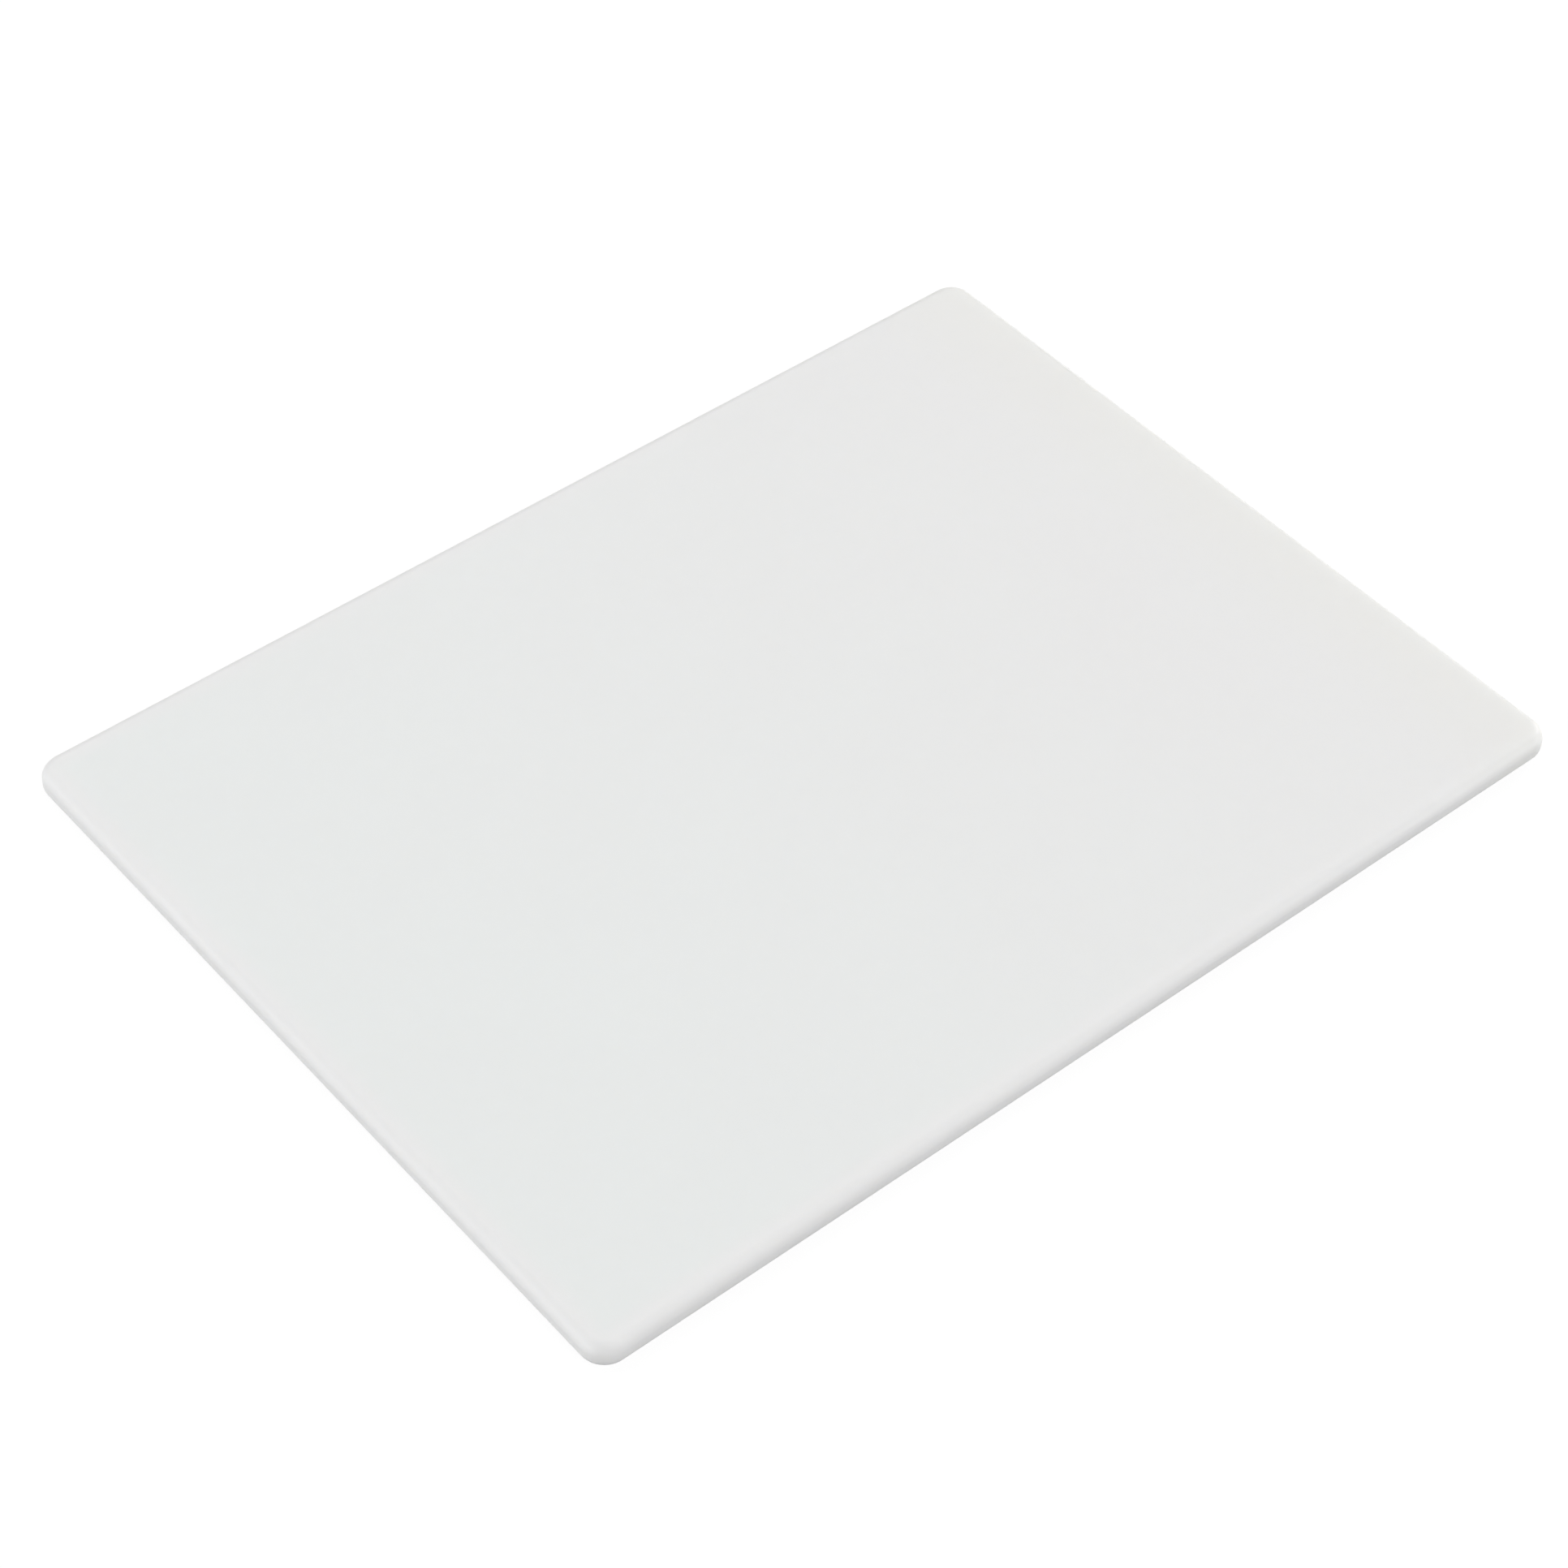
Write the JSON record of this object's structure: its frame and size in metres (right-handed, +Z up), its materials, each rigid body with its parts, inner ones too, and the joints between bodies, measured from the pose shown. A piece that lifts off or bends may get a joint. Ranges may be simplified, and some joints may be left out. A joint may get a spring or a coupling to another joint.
{
  "type": "cutting board",
  "caption": "Flat rectangular white plastic cutting board with corners rounded in plan and softly rounded-over rims, usable on either face.",
  "frame": {"origin": "centre of the underside, on the surface the board rests on", "axes": "+X along the board's length, +Y across its width, +Z up through its thickness, out of the cutting face"},
  "size_m": [0.4, 0.3, 0.01],
  "materials": {
    "polyethylene": "satin-matte white polyethylene, very slightly translucent at the rims"
  },
  "bodies": {
    "root": {"board_slab": "polyethylene"}
  },
  "joints": []
}
